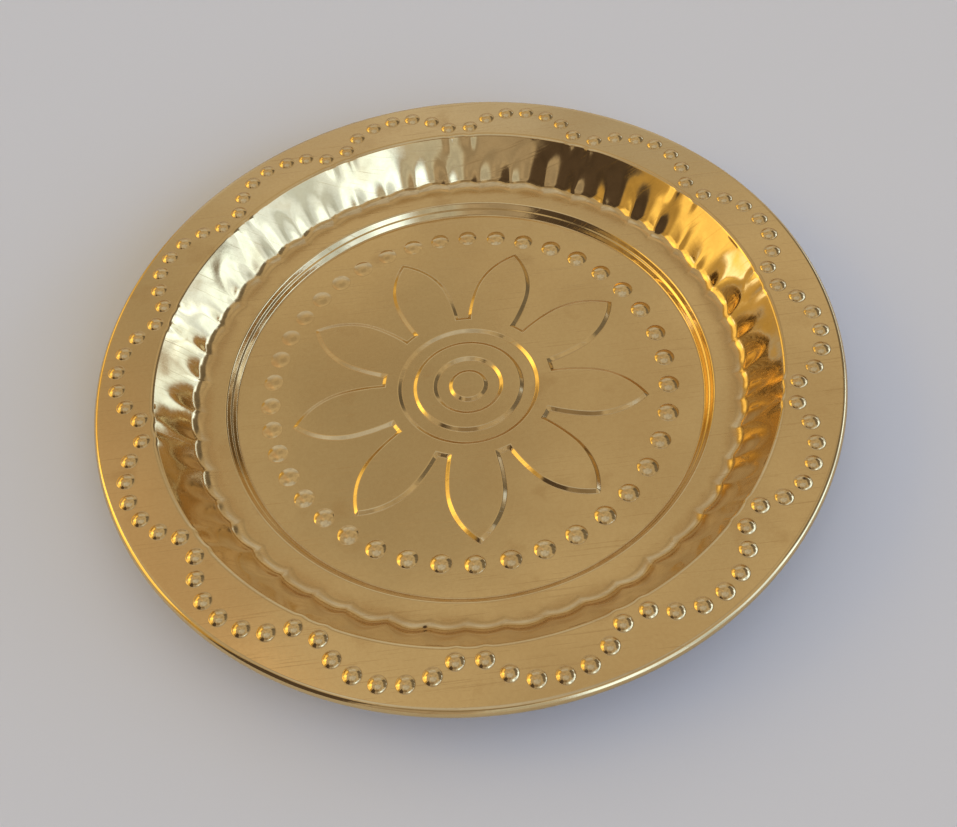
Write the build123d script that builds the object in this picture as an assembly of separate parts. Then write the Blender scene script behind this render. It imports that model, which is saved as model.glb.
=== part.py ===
from build123d import *
import os
from math import asin, atan2, cos, degrees, hypot, radians, sin, tan

# Puja thali: a small round brass plate pressed from one thin sheet, with its rim rolled over a wire.
# Millimetres, +Z up, origin at the centre of the underside of the floor, where the plate stands.

# Sheet and wire
sheet = 0.4             # thickness of the brass sheet
wire_dia = 1.6          # wire inside the rolled edge
wire_clearance = 0.12   # all round between the wire and the roll
roll_turn = 270.0       # degrees that the edge turns round the wire

# Section of the plate, all on its upper face
plate_dia = 150.0       # across the rolled edge
brim_width = 11.9       # flat brim, from the outside of the roll to the mouth of the well
wall_run = 7.7          # wall, measured flat, from the mouth to the foot
wall_rise = 9.3         # wall, from its foot up to the brim
ledge_width = 5.0       # flat ledge, from the foot of the wall to the step
step_run = 1.6          # step, measured flat
step_rise = 2.5         # step, from the floor up to the ledge
tread_run = 0.4         # softer strip half way up the step, measured flat
tread_rise = 0.3
mouth_round = 1.2       # rounding of each bend in the section
foot_round = 5.0
ledge_round = 0.7
tread_round = 0.5
floor_round = 0.6

# Flutes pressed into the foot of the wall
flutes = 48
flute_depth = 1.1       # how far a flute stands out from the wall at its foot
flute_height = 7.0      # above the foot, where a flute runs out into the wall
flute_radius = 8.2      # of the flute's arc, seen from above
flute_round = 3.5       # of the bend at its foot
flute_lift = 0.1        # above the foot, where a flute begins
flute_turn = 4.3        # degrees from +X to the middle of the first flute
flute_seam_drop = 2.0   # from the brim down to the line where the fluted ring meets the rest
flute_seam_out = 1.0    # from the step out to the line where it meets the ledge

# Chain of dots on the brim
scallops = 14
dots_per_scallop = 7
crown_inset = 4.1       # from the outside of the plate to the outermost dot of a scallop
cusp_inset = 2.6        # from the mouth of the well to the innermost dots
cusp_gap = 5.1          # between the two dots where scallops meet
scallop_turn = 21.3     # degrees from +X to the middle of the first scallop
brim_dot_dia = 3.7
brim_dot_height = 0.85

# Ring of dots on the floor
floor_dots = 40
floor_dot_inset = 7.2   # from the edge of the floor to the middle of the dots
floor_dot_dia = 4.1
floor_dot_height = 0.7
floor_dot_swing_turn = 3.9   # degrees that the spacing swings, because the dots were set by hand
floor_dot_crowd_turn = 69.0  # degrees from +X to where they are furthest ahead

# Flower in the middle of the floor
petals = 9
petal_turn = 28.0       # degrees from +X to the first petal's tip
petal_tip_gap = 4.1     # from a petal's tip to the middle of the ring of dots
petal_root_out = 3.5    # from the outer channel out to the petals' roots
petal_swell = 0.38      # where a petal is widest, as a share of the way from its root to its tip
petal_gap = 5.7         # between petals where they are widest
petal_root_gap = 2.0    # between petals at their roots
relief = 0.65           # height of the flower above the floor
relief_slope = 38.0     # degrees, slope of its sides
channel_width = 2.4     # of the two round channels, at the floor
outer_channel_radius = 12.8   # to the middle of each channel
inner_channel_radius = 5.3

# Radii and heights that follow from these
plate_radius = plate_dia / 2
roll_inner = wire_dia / 2 + wire_clearance
roll_outer = roll_inner + sheet
brim_end = plate_radius - roll_outer
mouth_radius = plate_radius - brim_width
foot_radius = mouth_radius - wall_run
ledge_radius = foot_radius - ledge_width
floor_radius = ledge_radius - step_run
floor_top = sheet
ledge_top = floor_top + step_rise
brim_top = ledge_top + wall_rise
floor_dot_ring = floor_radius - floor_dot_inset
petal_tip = floor_dot_ring - petal_tip_gap
petal_root = outer_channel_radius + channel_width / 2 + petal_root_out
petal_belly = petal_root + petal_swell * (petal_tip - petal_root)
relief_run = relief / tan(radians(relief_slope))
die_depth = brim_top    # how far the forming solids reach below the floor


def bend_shift(skin, angle):
    """How far a bend of this many degrees moves sideways on a face lying skin below the upper one."""
    return skin * tan(radians(angle / 2))


def section_corner(radius, height, before, after, skin):
    """Corner of the section between two slopes, in radians, on the face lying skin below the upper one."""
    share = skin / (1 + cos(after - before))
    return (radius + share * (sin(before) + sin(after)), height - share * (cos(before) + cos(after)))


def section_line(skin):
    """Line across half the plate, from its axis to the brim's end, skin below the upper face."""
    level = 0
    riser_run = (step_run - tread_run) / 2
    riser_rise = (step_rise - tread_rise) / 2
    riser = atan2(riser_rise, riser_run)
    tread = atan2(tread_rise, tread_run)
    wall = atan2(wall_rise, wall_run)
    points = [
        (0, floor_top - skin),
        section_corner(floor_radius, floor_top, level, riser, skin),
        section_corner(floor_radius + riser_run, floor_top + riser_rise, riser, tread, skin),
        section_corner(ledge_radius - riser_run, ledge_top - riser_rise, tread, riser, skin),
        section_corner(ledge_radius, ledge_top, riser, level, skin),
        section_corner(foot_radius, ledge_top, level, wall, skin),
        section_corner(mouth_radius, brim_top, wall, level, skin),
        (brim_end + skin, brim_top - skin),
    ]
    step_radii = [floor_round + skin, tread_round - skin, tread_round + skin, ledge_round - skin]
    radii = [*step_radii, foot_round + skin, mouth_round - skin]
    return FilletPolyline(*points, radius=radii)


def turned(line, low, turn=360):
    """Solid of revolution under a section line, down to the height low."""
    outer = line @ 1
    axis_top = line @ 0
    closing = Polyline((outer.X, outer.Y), (outer.X, low), (0, low), (0, axis_top.Y))
    return revolve(Plane.XZ * make_face([line, closing]), Axis.Z, revolution_arc=turn)


def flute_cutter(skin):
    """Room that one flute takes out of the wall, in the direction of +X."""
    lean = wall_run / wall_rise - flute_depth / flute_height
    angle = degrees(atan2(1, lean))
    bottom = ledge_top + flute_lift - skin
    top = brim_top + sheet
    corner = flute_radius + bend_shift(skin, angle)
    mouth = corner + lean * (top - bottom)
    line = FilletPolyline((0, bottom), (corner, bottom), (mouth, top), radius=flute_round + skin)
    closing = Polyline((mouth, top), (0, top), (0, bottom))
    bowl = revolve(Plane.XZ * make_face([line, closing]), Axis.Z)
    return Pos(foot_radius + flute_depth - flute_radius, 0, 0) * bowl


def fluted_zone(turn=360):
    """Space that the fluted ring fills, below the mouth and outside the step."""
    inner = ledge_radius + flute_seam_out
    section = Pos((inner + plate_radius) / 2, (brim_top - flute_seam_drop) / 2) * Rectangle(
        plate_radius - inner, brim_top - flute_seam_drop
    )
    return revolve(Plane.XZ * section, Axis.Z, revolution_arc=turn)


def fluted_ring():
    """The fluted part of the wall as equal sectors, one for each flute."""
    turn = 360 / flutes
    middle = Rot(0, 0, turn / 2)
    upper = turned(section_line(0), -die_depth, turn) - middle * flute_cutter(0)
    lower = turned(section_line(sheet), -2 * die_depth, turn) - middle * flute_cutter(sheet)
    sector = (upper - lower) & fluted_zone(turn)
    return [Rot(0, 0, flute_turn + turn * (k - 0.5)) * sector for k in range(flutes)]


def cap_ball(dia, height, skin):
    """Ball whose cap of this diameter and height is a dot, on a face lying skin below the upper one."""
    radius = (dia**2 / 4 + height**2) / (2 * height)
    return Pos(0, 0, height - radius) * Sphere(radius - skin)


def brim_dot_places():
    """Middles of the dots on one scallop, on an arc from cusp to crown to cusp."""
    cusp = mouth_radius + cusp_inset
    crown = plate_radius - crown_inset
    half = radians(180 / scallops) - asin(cusp_gap / 2 / cusp)
    side = (cusp * cos(half), cusp * sin(half))
    chain = ThreePointArc((side[0], -side[1]), (crown, 0), side)
    return [chain @ (i / (dots_per_scallop - 1)) for i in range(dots_per_scallop)]


def floor_dot_angle(i):
    """Direction of one floor dot, in degrees, with the uneven spacing of handwork."""
    even = 360 * i / floor_dots
    return even + floor_dot_swing_turn * cos(radians(even - floor_dot_crowd_turn))


def dots(skin):
    """Balls of all the dots, on the brim and on the floor."""
    brim_ball = cap_ball(brim_dot_dia, brim_dot_height, skin)
    floor_ball = cap_ball(floor_dot_dia, floor_dot_height, skin)
    balls = []
    for k in range(scallops):
        turn = Rot(0, 0, scallop_turn + 360 * k / scallops)
        balls += [turn * Pos(place.X, place.Y, brim_top) * brim_ball for place in brim_dot_places()]
    for i in range(floor_dots):
        balls.append(Rot(0, 0, floor_dot_angle(i)) * Pos(floor_dot_ring, 0, floor_top) * floor_ball)
    return balls


def petal_corner(point, normal_a, normal_b, inset):
    """Corner of the flower's outline, moved inwards so that both sides keep the same inset."""
    spread = 1 + normal_a[0] * normal_b[0] + normal_a[1] * normal_b[1]
    along = (normal_a[0] + normal_b[0], normal_a[1] + normal_b[1])
    return (point[0] - inset * along[0] / spread, point[1] - inset * along[1] / spread)


def arc_normal(span, drop):
    """Outward normal at the far end of an arc that starts level and falls by drop over span."""
    length = hypot(span, drop)
    return (2 * span * drop / length**2, (span**2 - drop**2) / length**2)


def petal_half_width(radius, gap):
    """Half the width of a petal at this radius, where it leaves this gap to its neighbours."""
    half = radians(180 / petals)
    return radius * tan(half) - gap / 2 / cos(half)


def flower_outline(inset):
    """Outline of the flower, moved inwards by inset: petals joined by short links at their roots."""
    half = 180 / petals
    belly_width = petal_half_width(petal_belly, petal_gap)
    root_width = petal_half_width(petal_root, petal_root_gap)
    tip_normal = arc_normal(petal_tip - petal_belly, belly_width)
    back_normal = arc_normal(petal_belly - petal_root, belly_width - root_width)
    root_normal = (-back_normal[0], back_normal[1])
    root_length = hypot(petal_root, root_width)
    link_normal = (petal_root / root_length, root_width / root_length)
    tip_point = petal_corner((petal_tip, 0), tip_normal, (tip_normal[0], -tip_normal[1]), inset)
    root_point = petal_corner((petal_root, root_width), root_normal, link_normal, inset)
    belly_point = (petal_belly, belly_width - inset)
    link_length = hypot(root_point[0], root_point[1])
    link_middle = (link_length * cos(radians(half)), link_length * sin(radians(half)))
    next_root = Vector(root_point[0], -root_point[1]).rotate(Axis.Z, 2 * half)
    side = [
        TangentArc(belly_point, tip_point, tangent=(1, 0)),
        TangentArc(belly_point, root_point, tangent=(-1, 0)),
    ]
    unit = side + [mirror(edge, Plane.XZ) for edge in side]
    unit.append(ThreePointArc(root_point, link_middle, (next_root.X, next_root.Y)))
    edges = []
    for k in range(petals):
        edges += [Rot(0, 0, petal_turn + 360 * k / petals) * edge for edge in unit]
    return make_face(edges)


def channel(radius, skin):
    """Ring cut for one round channel of the flower, with sloping sides."""
    shift = bend_shift(skin, relief_slope)
    low = floor_top - skin
    rise = 2 * relief
    run = 2 * relief_run
    inner = radius - channel_width / 2 - shift
    outer = radius + channel_width / 2 + shift
    foot = [(inner, low), (outer, low)]
    top = [(outer + run, low + rise), (inner - run, low + rise)]
    return revolve(Plane.XZ * make_face(Polyline(*foot, *top, close=True)), Axis.Z)


def flower(skin):
    """Raised flower with its two channels, on a face lying skin below the upper one."""
    shift = bend_shift(skin, relief_slope)
    low = floor_top - skin
    foot = Pos(0, 0, low) * flower_outline(shift)
    top = Pos(0, 0, low + relief) * flower_outline(shift + relief_run)
    petals_block = loft([foot, top], ruled=True)
    return petals_block - channel(outer_channel_radius, skin) - channel(inner_channel_radius, skin)


def formed_block(skin, low):
    """Everything under the plate's shape, with the face that lies skin below the upper one."""
    return turned(section_line(skin), low) + dots(skin) + flower(skin)


def rolled_edge():
    """Edge of the sheet, turned down and under round the wire."""
    centre = (brim_end, brim_top - roll_outer)
    start = 90
    end = start - roll_turn
    outer = CenterArc(centre, roll_outer, start, -roll_turn)
    inner = CenterArc(centre, roll_inner, end, roll_turn)
    section = make_face([outer, Line(outer @ 1, inner @ 0), inner, Line(inner @ 1, outer @ 0)])
    return revolve(Plane.XZ * section, Axis.Z)


def pressed_plate():
    """The pressed sheet: between its upper and lower face, with the fluted ring and the rolled edge."""
    formed = formed_block(0, -die_depth) - formed_block(sheet, -2 * die_depth)
    formed -= fluted_zone()
    return formed + fluted_ring() + rolled_edge()


def rim_wire():
    """Wire ring inside the rolled edge."""
    return Pos(0, 0, brim_top - roll_outer) * Torus(brim_end, wire_dia / 2)


os.makedirs("parts", exist_ok=True)
export_step(pressed_plate(), "parts/pressed_plate.step")
export_step(rim_wire(), "parts/rim_wire.step")
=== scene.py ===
import math
import random

import bpy
import numpy as np
from mathutils import Matrix, Vector
from mathutils.geometry import delaunay_2d_cdt


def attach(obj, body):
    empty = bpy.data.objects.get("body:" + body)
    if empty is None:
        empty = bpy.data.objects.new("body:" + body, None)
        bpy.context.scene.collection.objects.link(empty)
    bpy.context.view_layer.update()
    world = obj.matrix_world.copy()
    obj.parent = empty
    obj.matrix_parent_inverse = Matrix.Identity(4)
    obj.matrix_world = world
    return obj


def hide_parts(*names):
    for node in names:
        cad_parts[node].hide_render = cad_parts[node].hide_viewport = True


# Looks of a puja thali: a small brass plate pressed from one thin sheet, its rim rolled over a wire.
# Sizes are millimetres on the plate's upper face and turn into metres when a mesh is made.

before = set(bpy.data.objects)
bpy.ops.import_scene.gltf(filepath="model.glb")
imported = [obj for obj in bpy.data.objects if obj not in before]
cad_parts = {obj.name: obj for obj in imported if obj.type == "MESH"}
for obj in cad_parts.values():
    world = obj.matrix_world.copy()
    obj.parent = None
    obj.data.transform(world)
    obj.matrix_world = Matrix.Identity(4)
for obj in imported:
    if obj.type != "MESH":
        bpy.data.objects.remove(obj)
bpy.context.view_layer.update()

MM = 0.001

# Sheet and rolled edge
SHEET = 0.4
PLATE_RADIUS = 75.0
ROLL_OUTER = 1.32       # radius of the bead outside
ROLL_TURN = 270.0       # degrees that the edge is rolled under
BRIM_END = PLATE_RADIUS - ROLL_OUTER

# Section of the plate
FLOOR_TOP = SHEET
FLOOR_RADIUS = 48.8     # corner between floor and step
LEDGE_RADIUS = 50.4     # corner between step and ledge
FOOT_RADIUS = 55.4      # corner between ledge and wall
MOUTH_RADIUS = 63.1     # corner between wall and brim
LEDGE_TOP = 2.9
BRIM_TOP = 12.2
TREAD = (0.4, 0.3)      # softer strip half way up the step: run and rise
FLOOR_ROUND = 0.6
TREAD_ROUND = 0.5
LEDGE_ROUND = 0.7
FOOT_ROUND = 5.0
MOUTH_ROUND = 1.2
WALL_SLOPE = math.atan2(BRIM_TOP - LEDGE_TOP, MOUTH_RADIUS - FOOT_RADIUS)

# Flutes in the wall, each a shallow scoop with its own axis. Pairs are the least and the most, as shares.
FLUTES = 48
FLUTE_DEPTH = 1.1
FLUTE_HEIGHT = 7.0      # above the foot, where a flute runs out into the wall
FLUTE_RADIUS = 8.2
FLUTE_ROUND = 3.5
FLUTE_TURN = 4.25       # degrees to the middle of the first flute
FLUTE_SWAY = 1.6        # degrees that the flutes wander round the plate
FLUTE_STRAY = 0.7       # degrees that one flute may be off its place
FLUTE_DEPTHS = (0.7, 1.15)
FLUTE_HEIGHTS = (0.7, 1.0)
FLUTE_BLEND = 0.5       # how softly flutes meet in their ridges
THINNEST_BLEND = 0.01   # share of that blend left at the very foot

# Shallow dents in the wall, in sets that cross each other; tarnish along its foot; bulges of the mouth
RIPPLE_SETS = 9
RIPPLE_COUNTS = (14, 60)    # fewest and most dents round the wall in one set
RIPPLE_PHASE = 7.0      # radians, the most that a set is turned
RIPPLE_LEAN = 0.5       # radians for each millimetre outwards, at most
RIPPLE_HEIGHT = 0.03    # of each set
RIPPLE_FADE = 2.0       # width over which the dents run out at foot and mouth
RIPPLE_MARGIN = 0.7     # width left free of them at the mouth
FOOT_TARNISH = 0.75     # in the middle of its strip
FOOT_TARNISH_INSET = 0.8    # from the foot's corner to the middle of the strip
FOOT_TARNISH_WIDTH = 1.6
MOUTH_BULGE = 0.3       # how far the mouth is pushed in beside the dots that stand close to it
MOUTH_BULGE_WIDTH = 1.0     # along the mouth, to either side of a dot
MOUTH_BULGE_REACH = 3.0     # how far inwards from the mouth

# Dots on the brim and on the floor
SCALLOPS = 14
DOTS_PER_SCALLOP = 7
CROWN_INSET = 4.1       # from the plate's edge to the outermost dots
CUSP_INSET = 2.6        # from the mouth to the innermost dots
CUSP_GAP = 5.1          # between the last dot of a scallop and the first of the next
SCALLOP_TURN = 21.3     # degrees to the middle of the first scallop
BRIM_DOT = (1.88, 0.7)  # radius of the foot, height
FLOOR_DOTS = 40
FLOOR_DOT_RING = 41.6
FLOOR_DOT = (2.3, 0.75)
FLOOR_DOT_SWING = 3.9   # degrees that the dots wander round their ring
FLOOR_DOT_CROWD = 69.0  # degrees to where they wander furthest
DOT_FOOT_ROUND = 0.4    # of the soft bend round a dot's foot
DOT_STRAY = 0.1         # that one dot may be off its place, along x and along y
DOT_FEET = (0.95, 1.0)  # least and most of the foot's radius, as shares
DOT_HEIGHTS = (0.88, 1.0)

# Flower on the floor
PETALS = 9
PETAL_TURN = 28.0       # degrees to the middle of the first petal
PETAL_TIP = 37.5
PETAL_BELLY = 25.1
PETAL_ROOT = 17.5
PETAL_HALF_WIDTH = 6.1
PETAL_ROOT_HALF_WIDTH = 5.3
RELIEF = 0.6            # height above the floor
RELIEF_SLOPE = 36.0     # degrees of its sides
RELIEF_ROUND = 0.45     # rounding at the foot and at the top of its sides
CHANNELS = ((11.6, 14.0), (4.1, 6.5))   # inner and outer radius
STRIKE_MIDDLE = 0.87    # share of the full relief at the plate's middle
STRIKE_LEAN = 0.62      # how much that share changes from the middle to the ring of dots
STRIKE_TURN = -30.0     # degrees to the side that the die struck deepest

# How finely the mesh is divided: columns go round, rows and steps go along
WALL_COLUMNS = FLUTES * 16
RING_COLUMNS = 384
CHANNEL_COLUMNS = 128
DOT_COLUMNS = 20
FLUTE_ROWS = 44
UPPER_WALL_ROWS = 4
MOUTH_ROWS = 7
FOOT_MARGIN = 0.2       # flat strip inside the wall's first bend
FLUTE_MARGIN = 0.5      # strip of fine rows past the flutes' ends
FLOOR_ROUND_ROWS = 6
TREAD_ROUND_ROWS = 4
LEDGE_ROUND_ROWS = 7
ROLL_ROWS = 18
DOT_CAP_ROWS = 5
PETAL_BACK_STEPS = 8
PETAL_FRONT_STEPS = 16
PETAL_LINK_STEPS = 4
CDT_INSIDE = 1          # triangles inside the outlines only
CDT_TOLERANCE = 1e-6

# Tarnish in the bends, row by row
STEP_CREASES = (0.5, 1.0, 0.8, 0.3)     # outwards from the floor
DOT_CREASES = (0.3, 0.8, 1.0, 0.0)      # from the cap down to the foot
FLOWER_CREASES = (0.0, 1.0, 0.8, 0.0)   # from the floor up

hand = random.Random(48)


class Face:
    """Upper face of the sheet: points, normals and faces, gathered piece by piece."""

    def __init__(self):
        self.points = []
        self.normals = []
        self.creases = []
        self.faces = []

    def row(self, points, normals, crease=0.0):
        """Adds points with their normals, and how much tarnish sits there; gives back their numbers."""
        first = len(self.points)
        self.points += [tuple(p) for p in points]
        self.normals += [tuple(n) for n in normals]
        self.creases += [crease] * len(points)
        return list(range(first, len(self.points)))

    def bridge(self, inner, outer):
        """Faces between two closed rows that run the same way round, the second one outside the first."""
        count = len(inner)
        for i in range(count):
            j = (i + 1) % count
            self.faces.append((inner[i], outer[i], outer[j], inner[j]))

    def fill(self, outline, holes=()):
        """Flat triangles inside one closed row and outside the others."""
        loops = [outline, *holes]
        numbers = [n for loop in loops for n in loop]
        flat = np.array([self.points[n][:2] for n in numbers])
        edges = []
        start = 0
        for loop in loops:
            count = len(loop)
            edges += [(start + i, start + (i + 1) % count) for i in range(count)]
            start += count
        found = delaunay_2d_cdt([Vector(p) for p in flat], edges, [], CDT_INSIDE, CDT_TOLERANCE)
        _, _, corners, sources, _, _ = found
        triangles = np.array([[sources[v][0] for v in triangle] for triangle in corners])
        kept = inside(flat[triangles].mean(axis=1), flat, np.array(edges))
        self.faces += [tuple(numbers[v] for v in triangle) for triangle in triangles[kept]]


def inside(places, corners, edges):
    """Whether each place is inside an outline with holes: an odd number of edges lies straight to its right."""
    a = corners[edges[:, 0]]
    b = corners[edges[:, 1]]
    x, y = places[:, :1], places[:, 1:]
    spans = (a[:, 1] > y) != (b[:, 1] > y)
    rise = np.where(a[:, 1] == b[:, 1], 1.0, b[:, 1] - a[:, 1])
    right = x < a[:, 0] + (y - a[:, 1]) / rise * (b[:, 0] - a[:, 0])
    return (spans & right).sum(axis=1) % 2 == 1


def circle(columns, radius, turn=0.0):
    """Points round a circle, as an array of x and y."""
    angles = turn + 2 * np.pi * np.arange(columns) / columns
    return radius * np.column_stack([np.cos(angles), np.sin(angles)])


def turned_row(face, columns, radius, height, slope, crease=0.0):
    """Row of a surface of revolution, where the section rises outwards by slope, in radians."""
    flat = circle(columns, 1.0)
    points = np.column_stack([radius * flat, np.full(columns, height)])
    normals = np.column_stack([-math.sin(slope) * flat, np.full(columns, math.cos(slope))])
    return face.row(points, normals, crease)


def arc_rows(corner, radius, before, after, steps):
    """Rows of a rounded corner in the section, from one slope to the other: radius, height and slope."""
    bend = after - before
    reach = radius * math.tan(abs(bend) / 2)
    start = (corner[0] - reach * math.cos(before), corner[1] - reach * math.sin(before))
    side = math.copysign(1.0, bend)
    centre = (start[0] - side * radius * math.sin(before), start[1] + side * radius * math.cos(before))
    rows = []
    for i in range(steps + 1):
        slope = before + bend * i / steps
        place = (centre[0] + side * radius * math.sin(slope), centre[1] - side * radius * math.cos(slope))
        rows.append((*place, slope))
    return rows


def turned_rows(face, columns, rows):
    """Rows of revolution joined one after another; gives back all rows."""
    made = [turned_row(face, columns, *row) for row in rows]
    for inner, outer in zip(made, made[1:]):
        face.bridge(inner, outer)
    return made


def soft_low(a, b, blend):
    """The lower of two heights, blended where they are close."""
    near = np.maximum(blend - np.abs(a - b), 0.0) / blend
    return np.minimum(a, b) - near**2 * blend / 4


class Flutes:
    """The scoops round the wall, each a little different, as the hand-set die left them."""

    def __init__(self):
        self.turns = []
        self.depths = []
        self.heights = []
        for k in range(FLUTES):
            turn = FLUTE_TURN + 360 * k / FLUTES
            turn += -FLUTE_SWAY * math.sin(math.radians(turn)) + hand.uniform(-FLUTE_STRAY, FLUTE_STRAY)
            self.turns.append(math.radians(turn))
            self.depths.append(FLUTE_DEPTH * hand.uniform(*FLUTE_DEPTHS))
            self.heights.append(FLUTE_HEIGHT * hand.uniform(*FLUTE_HEIGHTS))
        self.ripples = []
        for _ in range(RIPPLE_SETS):
            count = hand.randint(*RIPPLE_COUNTS)
            phase = hand.uniform(0, RIPPLE_PHASE)
            self.ripples.append((count, phase, hand.uniform(-RIPPLE_LEAN, RIPPLE_LEAN)))
        last = DOTS_PER_SCALLOP - 1
        cusps = [place for i, place in enumerate(brim_dot_places()) if i % DOTS_PER_SCALLOP in (0, last)]
        self.cusp_turns = [math.atan2(y, x) for x, y in cusps]

    def bulge(self, flat, radius):
        """How far the upper wall is pushed in at points given by x and y."""
        turns = np.arctan2(flat[:, 1], flat[:, 0])
        pushed = np.zeros(len(flat))
        for turn in self.cusp_turns:
            along = MOUTH_RADIUS * ((turns - turn + np.pi) % (2 * np.pi) - np.pi)
            pushed += np.exp(-((along / MOUTH_BULGE_WIDTH) ** 2))
        upwards = np.clip((radius - MOUTH_RADIUS + MOUTH_BULGE_REACH) / MOUTH_BULGE_REACH, 0.0, 1.0)
        return MOUTH_BULGE * pushed * upwards

    def ripple(self, flat, radius):
        """Shallow dents between foot and mouth, at points given by x and y."""
        turns = np.arctan2(flat[:, 1], flat[:, 0])
        dents = sum(np.sin(count * turns + phase + lean * radius) for count, phase, lean in self.ripples)
        room = np.minimum(radius - FOOT_RADIUS, MOUTH_RADIUS - RIPPLE_MARGIN - radius)
        fade = np.clip(room / RIPPLE_FADE, 0.0, 1.0)
        return RIPPLE_HEIGHT * fade**2 * (3 - 2 * fade) * dents

    def height(self, flat):
        """Height of the wall, flutes cut in, at points given by x and y."""
        radius = np.hypot(flat[:, 0], flat[:, 1])
        pushed = radius + self.bulge(flat, radius)
        rise = foot_rise(pushed - FOOT_RADIUS, math.tan(WALL_SLOPE), FOOT_ROUND)
        for turn, depth, height in zip(self.turns, self.depths, self.heights):
            away = np.array([math.cos(turn), math.sin(turn)])
            near = flat @ away > radius * math.cos(2 * math.pi / FLUTES)
            axis = (FOOT_RADIUS + depth - FLUTE_RADIUS) * away
            reach = np.hypot(*(flat[near] - axis).T)
            steepness = 1 / (1 / math.tan(WALL_SLOPE) - depth / height)
            scoop = foot_rise(reach - FLUTE_RADIUS, steepness, FLUTE_ROUND)
            blend = FLUTE_BLEND * np.clip(rise[near], THINNEST_BLEND, 1.0)
            rise[near] = soft_low(rise[near], scoop, blend)
        return rounded_mouth(pushed, LEDGE_TOP + rise + self.ripple(flat, radius))


def foot_rise(outside, steepness, rounding):
    """Rise of a wall with a rounded foot and a straight side, at a distance outside its foot's corner."""
    slope = math.atan(steepness)
    start = -rounding * math.tan(slope / 2)
    end = start + rounding * math.sin(slope)
    along = np.clip((outside - start) / rounding, 0.0, math.sin(slope))
    curved = rounding * (1 - np.sqrt(1 - along**2))
    return curved + np.maximum(outside - end, 0.0) * math.tan(slope)


def rounded_mouth(radius, wall):
    """Height of the wall, turning into the brim in the mouth's rounding."""
    end = MOUTH_RADIUS + MOUTH_ROUND * math.tan(WALL_SLOPE / 2)
    start = end - MOUTH_ROUND * math.sin(WALL_SLOPE)
    along = np.clip((end - radius) / MOUTH_ROUND, 0.0, math.sin(WALL_SLOPE))
    mouth = BRIM_TOP - MOUTH_ROUND * (1 - np.sqrt(1 - along**2))
    return np.where(radius > start, mouth, wall)


def field_normals(height, flat):
    """Normals of a surface given by its height over x and y."""
    step = 1e-3
    dx = (height(flat + [step, 0]) - height(flat - [step, 0])) / (2 * step)
    dy = (height(flat + [0, step]) - height(flat - [0, step])) / (2 * step)
    normals = np.column_stack([-dx, -dy, np.ones(len(flat))])
    return normals / np.linalg.norm(normals, axis=1)[:, None]


def add_wall(face):
    """The fluted wall, from the ledge to the mouth; gives back its first and last row."""
    start = FOOT_RADIUS - FOOT_ROUND * math.tan(WALL_SLOPE / 2)
    flute_end = FOOT_RADIUS + FLUTE_HEIGHT / math.tan(WALL_SLOPE) + FLUTE_MARGIN
    mouth_end = MOUTH_RADIUS + MOUTH_ROUND * math.tan(WALL_SLOPE / 2)
    mouth_start = mouth_end - MOUTH_ROUND * math.sin(WALL_SLOPE)
    radii = [start - FOOT_MARGIN]
    radii += np.linspace(start, flute_end, FLUTE_ROWS, endpoint=False).tolist()
    radii += np.linspace(flute_end, mouth_start, UPPER_WALL_ROWS, endpoint=False).tolist()
    for i in range(MOUTH_ROWS + 1):
        radii.append(mouth_end - MOUTH_ROUND * math.sin(WALL_SLOPE * (1 - i / MOUTH_ROWS)))
    flutes = Flutes()
    rows = []
    for radius in radii:
        flat = circle(WALL_COLUMNS, radius)
        normals = field_normals(flutes.height, flat)
        if radius in (radii[0], radii[-1]):
            normals[:] = (0, 0, 1)
        off = (radius - FOOT_RADIUS + FOOT_TARNISH_INSET) / FOOT_TARNISH_WIDTH
        crease = FOOT_TARNISH * math.exp(-(off**2))
        rows.append(face.row(np.column_stack([flat, flutes.height(flat)]), normals, crease))
    for inner, outer in zip(rows, rows[1:]):
        face.bridge(inner, outer)
    return rows[0], rows[-1]


def add_step(face):
    """The step up from the floor to the ledge, with its softer strip; gives back its first and last row."""
    run = (LEDGE_RADIUS - FLOOR_RADIUS - TREAD[0]) / 2
    rise = (LEDGE_TOP - FLOOR_TOP - TREAD[1]) / 2
    riser = math.atan2(rise, run)
    tread = math.atan2(TREAD[1], TREAD[0])
    rows = arc_rows((FLOOR_RADIUS, FLOOR_TOP), FLOOR_ROUND, 0.0, riser, FLOOR_ROUND_ROWS)
    for i, crease in enumerate(STEP_CREASES, 1):
        rows[i] = (*rows[i], crease)
    rows += arc_rows((FLOOR_RADIUS + run, FLOOR_TOP + rise), TREAD_ROUND, riser, tread, TREAD_ROUND_ROWS)
    rows += arc_rows((LEDGE_RADIUS - run, LEDGE_TOP - rise), TREAD_ROUND, tread, riser, TREAD_ROUND_ROWS)
    rows += arc_rows((LEDGE_RADIUS, LEDGE_TOP), LEDGE_ROUND, riser, 0.0, LEDGE_ROUND_ROWS)
    made = turned_rows(face, RING_COLUMNS, rows)
    return made[0], made[-1]


def add_roll(face):
    """The rolled edge; gives back its first and last row."""
    rows = []
    for i in range(ROLL_ROWS + 1):
        slope = -math.radians(ROLL_TURN) * i / ROLL_ROWS
        radius = BRIM_END - ROLL_OUTER * math.sin(slope)
        rows.append((radius, BRIM_TOP - ROLL_OUTER + ROLL_OUTER * math.cos(slope), slope))
    made = turned_rows(face, RING_COLUMNS, rows)
    return made[0], made[-1]


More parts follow.
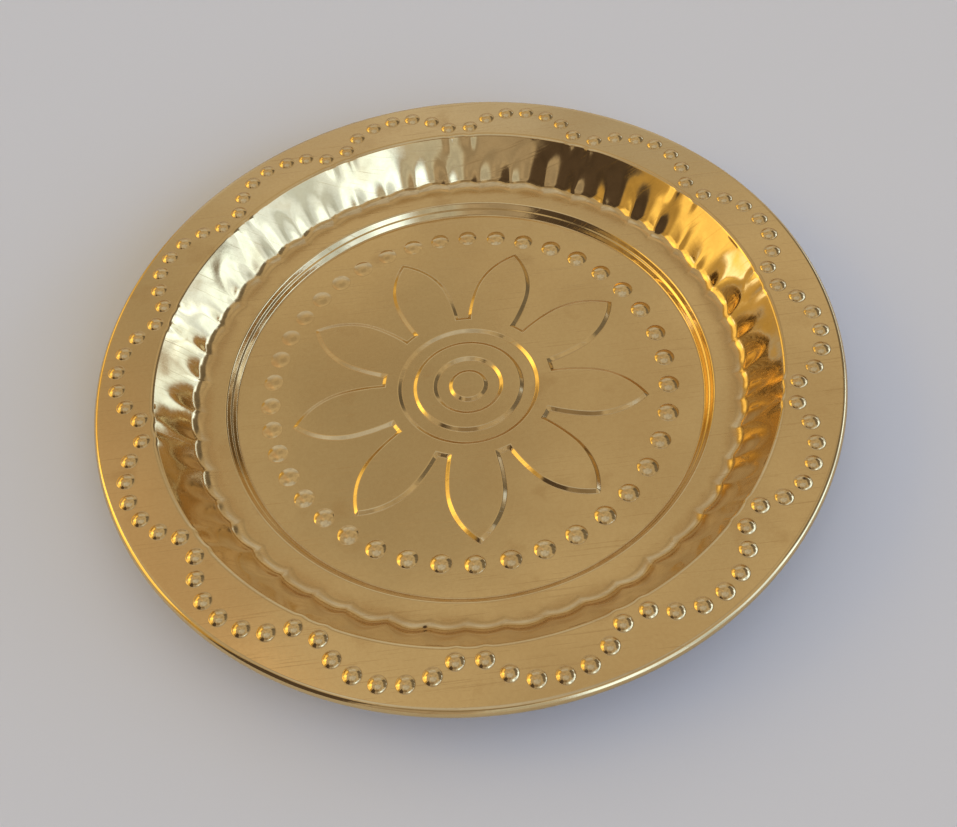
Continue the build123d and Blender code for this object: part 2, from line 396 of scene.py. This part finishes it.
def add_dot(face, place, base, size, turn):
    """One dot: a round cap with a soft foot; gives back the row of its foot."""
    foot, height = size
    ball = (foot**2 + height**2) / (2 * height) - DOT_FOOT_ROUND
    lean = math.asin(foot / (ball + DOT_FOOT_ROUND))
    around = circle(DOT_COLUMNS, 1.0, turn)
    top = face.row([(*place, base + height)], [(0, 0, 1)])[0]
    profile = []
    for i in range(1, DOT_CAP_ROWS + 1):
        slope = lean * i / DOT_CAP_ROWS
        profile.append((ball * math.sin(slope), height - ball * (1 - math.cos(slope)), slope, 0.0))
    for i, crease in enumerate(DOT_CREASES, 1):
        slope = lean * (1 - i / len(DOT_CREASES))
        reach = foot - DOT_FOOT_ROUND * math.sin(slope)
        profile.append((reach, DOT_FOOT_ROUND * (1 - math.cos(slope)), slope, crease))
    rows = []
    for reach, rise, slope, crease in profile:
        points = np.column_stack([np.array(place) + reach * around, np.full(DOT_COLUMNS, base + rise)])
        normals = np.column_stack([math.sin(slope) * around, np.full(DOT_COLUMNS, math.cos(slope))])
        rows.append(face.row(points, normals, crease))
    for i in range(DOT_COLUMNS):
        face.faces.append((top, rows[0][i], rows[0][(i + 1) % DOT_COLUMNS]))
    for inner, outer in zip(rows, rows[1:]):
        face.bridge(inner, outer)
    return rows[-1]


def struck_dot(face, place, base, size):
    """One dot as the hand-held punch left it: a little off its place, and not quite as large as the punch."""
    place = tuple(v + hand.uniform(-DOT_STRAY, DOT_STRAY) for v in place)
    size = (size[0] * hand.uniform(*DOT_FEET), size[1] * hand.uniform(*DOT_HEIGHTS))
    return add_dot(face, place, base, size, hand.uniform(0, 1))


def brim_dot_places():
    """Middles of the dots of the scalloped chain on the brim, on an arc from cusp to crown to cusp."""
    cusp = MOUTH_RADIUS + CUSP_INSET
    crown = PLATE_RADIUS - CROWN_INSET
    half = math.pi / SCALLOPS - math.asin(CUSP_GAP / 2 / cusp)
    side = Vector((cusp * math.cos(half), cusp * math.sin(half)))
    drop = crown - side.x
    bow = (side.y**2 + drop**2) / (2 * drop)
    sweep = math.asin(side.y / bow)
    places = []
    for k in range(SCALLOPS):
        turn = math.radians(SCALLOP_TURN + 360 * k / SCALLOPS)
        for i in range(DOTS_PER_SCALLOP):
            angle = sweep * (2 * i / (DOTS_PER_SCALLOP - 1) - 1)
            x = crown - bow + bow * math.cos(angle)
            y = bow * math.sin(angle)
            places.append((x * math.cos(turn) - y * math.sin(turn), x * math.sin(turn) + y * math.cos(turn)))
    return places


def floor_dot_places():
    """Middles of the dots on the floor, unevenly spaced, as they were set by hand."""
    places = []
    for i in range(FLOOR_DOTS):
        even = 360 * i / FLOOR_DOTS
        turn = math.radians(even + FLOOR_DOT_SWING * math.cos(math.radians(even - FLOOR_DOT_CROWD)))
        places.append((FLOOR_DOT_RING * math.cos(turn), FLOOR_DOT_RING * math.sin(turn)))
    return places


def bow_points(start, end, start_slope, steps):
    """Points and directions on an arc from start to end that leaves start in the direction start_slope."""
    chord = np.array(end) - np.array(start)
    chord_slope = math.atan2(chord[1], chord[0])
    half = (chord_slope - start_slope + math.pi) % (2 * math.pi) - math.pi
    radius = np.hypot(*chord) / (2 * math.sin(abs(half)))
    side = math.copysign(1.0, half)
    centre = np.array(start) + side * radius * np.array([-math.sin(start_slope), math.cos(start_slope)])
    result = []
    for i in range(steps + 1):
        slope = start_slope + 2 * half * i / steps
        point = centre - side * radius * np.array([-math.sin(slope), math.cos(slope)])
        result.append((point, slope))
    return result


def petal_outline():
    """One petal and the link to the next: points with the outline's direction before and after each."""
    root = (PETAL_ROOT, -PETAL_ROOT_HALF_WIDTH)
    belly = (PETAL_BELLY, -PETAL_HALF_WIDTH)
    tip = (PETAL_TIP, 0.0)
    back = bow_points(belly, root, math.pi, PETAL_BACK_STEPS)
    front = bow_points(belly, tip, 0.0, PETAL_FRONT_STEPS)
    rising = [(p, s + math.pi) for p, s in reversed(back)] + front[1:]
    falling = [(p * [1, -1], math.pi - s) for p, s in reversed(rising)]
    corners = [(p, s, s) for p, s in rising]
    corners[-1] = (rising[-1][0], rising[-1][1], falling[0][1])
    corners += [(p, s, s) for p, s in falling[1:]]
    pitch = 2 * math.pi / PETALS
    root_angle = math.atan2(PETAL_ROOT_HALF_WIDTH, PETAL_ROOT)
    root_reach = math.hypot(PETAL_ROOT, PETAL_ROOT_HALF_WIDTH)
    corners[-1] = (corners[-1][0], corners[-1][1], root_angle + math.pi / 2)
    first = corners[0]
    corners[0] = (first[0], math.pi / 2 - root_angle, first[2])
    for i in range(1, PETAL_LINK_STEPS):
        angle = root_angle + (pitch - 2 * root_angle) * i / PETAL_LINK_STEPS
        point = root_reach * np.array([math.cos(angle), math.sin(angle)])
        corners.append((point, angle + math.pi / 2, angle + math.pi / 2))
    return corners


def flower_row(face, corners, inset, height, slope, crease):
    """Row along the flower's outline, moved inwards by inset, where the side rises inwards by slope."""
    points = []
    normals = []
    for k in range(PETALS):
        turn = math.radians(PETAL_TURN + 360 * k / PETALS)
        rotate = np.array([[math.cos(turn), -math.sin(turn)], [math.sin(turn), math.cos(turn)]])
        for point, before, after in corners:
            out_a = np.array([math.sin(before), -math.cos(before)])
            out_b = np.array([math.sin(after), -math.cos(after)])
            out = (out_a + out_b) / (1 + out_a @ out_b)
            points.append((*(rotate @ (point - inset * out)), height))
            out = rotate @ out / np.linalg.norm(out)
            normals.append((*(math.sin(slope) * out), math.cos(slope)))
    return face.row(points, normals, crease)


def side_profile(slope, rounding, rise):
    """Side of the flower, with a soft foot and top edge: how far in, how high, how steep and how tarnished."""
    reach = rounding * math.tan(slope / 2)
    run = rise / math.tan(slope)
    steps = len(FLOWER_CREASES) - 1
    rows = []
    for i, crease in enumerate(FLOWER_CREASES):
        a = slope * i / steps
        rows.append((rounding * math.sin(a) - reach, rounding * (1 - math.cos(a)), a, crease))
    for i in range(steps + 1):
        a = slope * (1 - i / steps)
        rows.append((run + reach - rounding * math.sin(a), rise - rounding * (1 - math.cos(a)), a, 0.0))
    return rows


def add_flower(face):
    """The raised flower and its round channels; gives back the row of its foot."""
    corners = petal_outline()
    profile = side_profile(math.radians(RELIEF_SLOPE), RELIEF_ROUND, RELIEF)
    rows = [flower_row(face, corners, inset, FLOOR_TOP + rise, a, c) for inset, rise, a, c in profile]
    for outer, inner in zip(rows, rows[1:]):
        face.bridge(inner, outer)
    outline = rows[-1]
    for inner_radius, outer_radius in CHANNELS:
        up = [(outer_radius + inset, FLOOR_TOP + rise, a, c) for inset, rise, a, c in profile]
        down = [(inner_radius - inset, FLOOR_TOP + rise, -a, c) for inset, rise, a, c in reversed(profile)]
        made = turned_rows(face, CHANNEL_COLUMNS, down + up)
        face.fill(outline, [made[-1]])
        outline = made[0]
    face.fill(outline)
    return rows[0]


def settle(face, first):
    """Makes the relief, from its first point on, shallower towards the side that the die struck less deep."""
    turn = math.radians(STRIKE_TURN)
    for i in range(first, len(face.points)):
        x, y, z = face.points[i]
        along = (x * math.cos(turn) + y * math.sin(turn)) / FLOOR_DOT_RING
        share = min(STRIKE_MIDDLE + STRIKE_LEAN * along, 1.0)
        face.points[i] = (x, y, FLOOR_TOP + share * (z - FLOOR_TOP))
        normal = Vector(face.normals[i]) * Vector((share, share, 1))
        face.normals[i] = tuple(normal.normalized())
        face.creases[i] *= share


def plate_face():
    """Upper face of the whole sheet, and the row where it ends inside the rolled edge."""
    face = Face()
    step_inner, step_outer = add_step(face)
    wall_inner, wall_outer = add_wall(face)
    roll_inner, roll_end = add_roll(face)
    face.fill(wall_inner, [step_outer])
    brim = [struck_dot(face, place, BRIM_TOP, BRIM_DOT) for place in brim_dot_places()]
    face.fill(roll_inner, [wall_outer, *brim])
    first = len(face.points)
    floor = [struck_dot(face, place, FLOOR_TOP, FLOOR_DOT) for place in floor_dot_places()]
    floor.append(add_flower(face))
    settle(face, first)
    face.fill(step_inner, floor)
    return face, roll_end


def make_plate():
    """The sheet as one closed mesh: its upper face, the face lying its thickness below, and its edge."""
    face, end = plate_face()
    points = np.array(face.points)
    normals = np.array(face.normals)
    count = len(points)
    both = np.vstack([points, points - SHEET * normals]) * MM
    faces = list(face.faces)
    faces += [tuple(count + n for n in reversed(f)) for f in face.faces]
    for i in range(len(end)):
        j = (i + 1) % len(end)
        faces.append((end[i], count + end[i], count + end[j], end[j]))
    mesh = bpy.data.meshes.new("plate")
    mesh.from_pydata(both.tolist(), [], faces)
    mesh.validate()
    mesh.shade_smooth()
    mesh.normals_split_custom_set_from_vertices(np.vstack([normals, -normals]).tolist())
    mesh.attributes.new("crease", "FLOAT", "POINT").data.foreach_set("value", face.creases + face.creases)
    plate = bpy.data.objects.new("thali_plate", mesh)
    bpy.context.scene.collection.objects.link(plate)
    return plate


class Shading:
    """Node tree of a material or a world, filled node by node."""

    def __init__(self, tree):
        self.tree = tree

    def node(self, kind, inputs=(), **settings):
        """New node with its first inputs linked or set."""
        made = self.tree.nodes.new(kind)
        for name, value in settings.items():
            setattr(made, name, value)
        for socket, value in zip(made.inputs, inputs):
            self.give(socket, value)
        return made

    def give(self, socket, value):
        """Links a socket to another, or sets its value."""
        if isinstance(value, bpy.types.NodeSocket):
            self.tree.links.new(value, socket)
        else:
            socket.default_value = value

    def math(self, operation, *inputs):
        return self.node("ShaderNodeMath", inputs, operation=operation).outputs[0]

    def ramp(self, value, low, high, to_low=0.0, to_high=1.0):
        """Smooth step of a value from one range to another."""
        inputs = [value, low, high, to_low, to_high]
        return self.node("ShaderNodeMapRange", inputs, interpolation_type="SMOOTHSTEP").outputs[0]

    def noise(self, where, scale, detail=2.0, stretch=None, turn=0.0):
        """Noise round 0.5, in cells of 1/scale metres; stretch draws it out after a turn in degrees."""
        if stretch:
            inputs = [where, (0, 0, 0), (0, 0, math.radians(turn)), stretch]
            where = self.node("ShaderNodeMapping", inputs).outputs[0]
        texture = self.node("ShaderNodeTexNoise")
        self.give(texture.inputs["Vector"], where)
        texture.inputs["Scale"].default_value = scale
        texture.inputs["Detail"].default_value = detail
        return texture.outputs["Fac"]

    def blend(self, factor, first, second):
        """Mix of two colours."""
        mix = self.node("ShaderNodeMix", data_type="RGBA")
        self.give(mix.inputs["Factor"], factor)
        self.give(mix.inputs[6], first)
        self.give(mix.inputs[7], second)
        return mix.outputs[2]


# Wear of the brass. NOISE is the scale and detail of a noise, HOLD the values between which it takes hold.
SMUDGE_NOISE, SMUDGE_HOLD = (38, 4.0), (0.42, 0.68)
STAIN_NOISE, STAIN_HOLD = (95, 5.0), (0.56, 0.74)
CREASE_NOISE, CREASE_HOLD, CREASE_SHARES = (160, 3.0), (0.3, 0.6), (0.25, 0.75)
GRAIN_NOISE, GRAIN_HOLD = (1400, 2.0), (0.35, 0.65)
SCRATCH_NOISE = (1, 3.0)
SCRATCHES = (           # stretch of the noise, its turn in degrees, and HOLD
    ((45, 2600, 45), 24, 0.63, 0.71),
    ((60, 3100, 60), -52, 0.64, 0.72),
    ((70, 3600, 70), 83, 0.65, 0.72),
)
SPECK_SCALE = 85        # cells, of which a few hold a speck
SPECK_CHANCE = (0.86, 0.9)
SPECK_EDGE = (0.05, 0.02)
SPECK_COLOUR = (0.1, 0.06, 0.03)
SWELL_NOISE = (85, 1.0)
TOOTH_NOISE, TOOTH_HEIGHT = (1100, 2.0), 0.12

# What each kind of wear adds to the tarnish, to the roughness and to the height
TARNISHING = {"stain": 0.4, "smudge": 0.22, "scratch": 0.3, "grain": 0.1}
ROUGHENING = {"smudge": 0.06, "scratch": 0.12, "stain": 0.08, "speck": 0.4, "crease": 0.3}
RAISING = {"scratch": -0.05, "speck": -0.25}
RAISING_METRES = 4e-5   # for a height of 1

# Clean colour, tarnished colour, roughness
BRASS_SHEET = ((0.723, 0.527, 0.25), (0.518, 0.321, 0.125), 0.07)
BRASS_WIRE = ((0.643, 0.464, 0.223), (0.446, 0.295, 0.125), 0.28)


def brass_wear(make, where):
    """How strongly each kind of wear shows at a place, from 0 to 1."""
    scratch = 0.0
    for stretch, turn, low, high in SCRATCHES:
        line = make.ramp(make.noise(where, *SCRATCH_NOISE, stretch, turn), low, high)
        scratch = make.math("MAXIMUM", scratch, line)
    cells = make.node("ShaderNodeTexVoronoi", [where])
    cells.inputs["Scale"].default_value = SPECK_SCALE
    chance = make.node("ShaderNodeSeparateColor", [cells.outputs["Color"]]).outputs[0]
    speck = make.ramp(cells.outputs["Distance"], *SPECK_EDGE)
    crease = make.node("ShaderNodeAttribute", attribute_name="crease").outputs["Fac"]
    uneven = make.ramp(make.noise(where, *CREASE_NOISE), *CREASE_HOLD, *CREASE_SHARES)
    return {
        "smudge": make.ramp(make.noise(where, *SMUDGE_NOISE), *SMUDGE_HOLD),
        "stain": make.ramp(make.noise(where, *STAIN_NOISE), *STAIN_HOLD),
        "scratch": scratch,
        "speck": make.math("MULTIPLY", make.ramp(chance, *SPECK_CHANCE), speck),
        "crease": make.math("MULTIPLY", crease, uneven),
    }


def brass(name, clean, tarnished, roughness):
    """Polished brass in use: smudges, stains, scratches, specks, and tarnish in the creases."""
    material = bpy.data.materials.new(name)
    material.use_nodes = True
    make = Shading(material.node_tree)
    shader = material.node_tree.nodes["Principled BSDF"]
    where = make.node("ShaderNodeTexCoord").outputs["Object"]
    wear = brass_wear(make, where)

    dull = wear["crease"]
    for kind in ("stain", "smudge"):
        dull = make.math("MAXIMUM", dull, make.math("MULTIPLY", wear[kind], TARNISHING[kind]))
    dull = make.math("MULTIPLY_ADD", wear["scratch"], TARNISHING["scratch"], dull)
    grain = make.ramp(make.noise(where, *GRAIN_NOISE), *GRAIN_HOLD, 0.0, TARNISHING["grain"])
    dull = make.math("ADD", dull, grain)
    colour = make.blend(dull, (*clean, 1), (*tarnished, 1))
    colour = make.blend(wear["speck"], colour, (*SPECK_COLOUR, 1))
    make.give(shader.inputs["Base Color"], colour)
    shader.inputs["Metallic"].default_value = 1.0

    worn = roughness
    for kind, share in ROUGHENING.items():
        worn = make.math("MULTIPLY_ADD", wear[kind], share, worn)
    make.give(shader.inputs["Roughness"], worn)

    relief = make.noise(where, *SWELL_NOISE)
    relief = make.math("MULTIPLY_ADD", make.noise(where, *TOOTH_NOISE), TOOTH_HEIGHT, relief)
    for kind, share in RAISING.items():
        relief = make.math("MULTIPLY_ADD", wear[kind], share, relief)
    bump = make.node("ShaderNodeBump")
    bump.inputs["Strength"].default_value = 1.0
    bump.inputs["Distance"].default_value = RAISING_METRES
    make.give(bump.inputs["Height"], relief)
    make.give(shader.inputs["Normal"], bump.outputs["Normal"])
    return material


def make_floor():
    """Plain pale floor under the plate."""
    half = 40.0             # metres
    drop = 0.0002           # metres below the plate's lowest point
    grey = 0.8
    corners = [(-half, -half), (half, -half), (half, half), (-half, half)]
    mesh = bpy.data.meshes.new("floor")
    mesh.from_pydata([(x, y, -drop) for x, y in corners], [], [(0, 1, 2, 3)])
    floor = bpy.data.objects.new("floor", mesh)
    bpy.context.scene.collection.objects.link(floor)
    material = bpy.data.materials.new("floor_paper")
    material.use_nodes = True
    shader = material.node_tree.nodes["Principled BSDF"]
    shader.inputs["Base Color"].default_value = (grey, grey, grey, 1)
    shader.inputs["Roughness"].default_value = 0.9
    floor.data.materials.append(material)


def make_camera():
    """Camera at the photograph's place, found from the plate's own circles."""
    picture_width = 957     # pixels
    focal = 1154.8          # pixels
    elevation = math.radians(55.54)
    roll = math.radians(-7.05)
    distance = 3.094        # in plate radii, from the middle of the rim's plane
    aside = 0.039           # in plate radii
    above = -0.166          # in plate radii
    back = Vector((0, -math.cos(elevation), math.sin(elevation)))
    right = Vector((1, 0, 0))
    up = back.cross(right)
    axis_x = math.cos(roll) * right + math.sin(roll) * up
    axis_y = -math.sin(roll) * right + math.cos(roll) * up
    place = PLATE_RADIUS * (aside * axis_x + above * axis_y + distance * back)
    place = (place + Vector((0, 0, BRIM_TOP))) * MM
    camera = bpy.data.objects.new("camera", bpy.data.cameras.new("camera"))
    camera.data.sensor_fit = "HORIZONTAL"
    camera.data.sensor_width = 36.0
    camera.data.lens = focal / picture_width * camera.data.sensor_width
    camera.data.clip_start = 0.005
    camera.matrix_world = Matrix.Translation(place) @ Matrix((axis_x, axis_y, back)).transposed().to_4x4()
    bpy.context.scene.collection.objects.link(camera)
    bpy.context.scene.camera = camera


# Soft patches of light and shade on a plain sky: colour, compass direction and half width, lowest and highest
# place, soft edge. Angles are degrees, with 0 at +X, the photograph's right, and 90 at its far side. A later patch
# covers an earlier one.
SKY_PLAIN = (0.505, 0.45, 0.37)
SKY_NOISE, SKY_HOLD = (4.5, 3.0), (0.3, 0.7)
SKY_LEVELS = (0.92, 1.32)   # least and most brightness that the noise gives
SKY = (
    # Overhead, and high behind the camera
    ((0.57, 0.6, 0.7), 0, 200, 79, 101, 4),
    ((0.55, 0.58, 0.68), -95, 110, 64, 82, 6),
    # Far side
    ((0.58, 0.6, 0.68), 92, 24, 19, 42, 6),
    ((0.47, 0.415, 0.335), 104, 12, 42, 54, 8),
    ((0.64, 0.51, 0.38), 125, 9, 46, 72, 6),
    # Warm light on the left
    ((0.55, 0.38, 0.13), 159, 42, -10, 40, 3),
    ((1.35, 0.98, 0.32), 138, 15, 12, 30, 4),
    ((1.5, 1.12, 0.38), 175, 11, 10, 39, 4),
    ((1.7, 1.6, 1.3), 158, 4, 9, 16, 2),
    ((2.2, 1.6, 0.48), 159, 8, 15, 40, 4),
    # Shade on the near left, turning into the near side
    ((0.085, 0.065, 0.055), -142, 18, -10, 53, 2.5),
    ((0.42, 0.38, 0.35), -110, 14, -10, 48, 4),
    ((0.56, 0.62, 0.72), -87, 9, -10, 48, 4),
    # Cool light on the right
    ((0.95, 1.3, 2.1), -53, 23, -10, 41, 4),
    ((0.95, 1.3, 2.1), -19, 14, -10, 32, 4),
    ((0.95, 1.3, 2.1), 9, 15, -10, 21, 3),
    ((0.62, 0.68, 0.85), 33, 16, -10, 11, 3),
    ((1.4, 2.0, 3.2), -64, 8, 6, 42, 3),
    ((1.4, 2.0, 3.2), -8, 11, 3, 25, 4),
    ((0.6, 0.8, 1.2), -40, 6, -10, 40, 3),
    ((1.9, 2.6, 4.0), 17, 7, 6, 17, 2.5),
    # Shade above that light, and above the near side
    ((0.17, 0.155, 0.14), 40, 15, 13, 40, 3),
    ((0.19, 0.175, 0.16), 9, 19, 24, 46, 3),
    ((0.27, 0.22, 0.165), -103, 22, 45, 61, 4),
    # Low light on the right, and the horizon all round
    ((1.2, 1.65, 2.5), 29, 17, 3, 9, 2.5),
    ((0.5, 0.5, 0.51), 0, 200, -12, 3, 2),
)


class Sky(Shading):
    """World shader put together from soft-edged patches of light on a plain sky."""

    def __init__(self):
        self.world = bpy.data.worlds.new("studio")
        self.world.use_nodes = True
        super().__init__(self.world.node_tree)
        self.tree.nodes.clear()
        self.where = self.node("ShaderNodeTexCoord").outputs["Generated"]
        axes = self.node("ShaderNodeSeparateXYZ", [self.where]).outputs
        self.height = self.math("ARCSINE", axes["Z"])
        self.compass = self.math("ARCTAN2", axes["Y"], axes["X"])

    def patch(self, compass, half_width, low, high, soft):
        """How far inside a patch of sky, from 0 to 1."""
        soft = math.radians(soft)
        turned = self.math("SUBTRACT", self.compass, math.radians(compass))
        aside = self.math("ABSOLUTE", self.math("WRAP", turned, math.pi, -math.pi))
        middle = math.radians((low + high) / 2)
        away = self.math("ABSOLUTE", self.math("SUBTRACT", self.height, middle))
        width = math.radians(half_width)
        height = math.radians((high - low) / 2)
        across = self.ramp(aside, width + soft, width - soft)
        upright = self.ramp(away, height + soft, height - soft)
        return self.math("MULTIPLY", across, upright)

    def finish(self):
        """Lays the patches over the plain sky and gives the world to the scene."""
        colour = (*SKY_PLAIN, 1)
        for tint, *place in SKY:
            colour = self.blend(self.patch(*place), colour, (*tint, 1))
        uneven = self.ramp(self.noise(self.where, *SKY_NOISE), *SKY_HOLD, *SKY_LEVELS)
        background = self.node("ShaderNodeBackground", [colour, uneven])
        self.node("ShaderNodeOutputWorld", [background.outputs[0]])
        bpy.context.scene.world = self.world


make_camera()
Sky().finish()
make_floor()

plate = make_plate()
plate.data.materials.append(brass("brass_sheet", *BRASS_SHEET))
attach(plate, "root")
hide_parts("pressed_plate")

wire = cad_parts["rim_wire"]
wire.data.materials.clear()
wire.data.materials.append(brass("brass_wire", *BRASS_WIRE))

bpy.context.scene.view_settings.view_transform = "Standard"
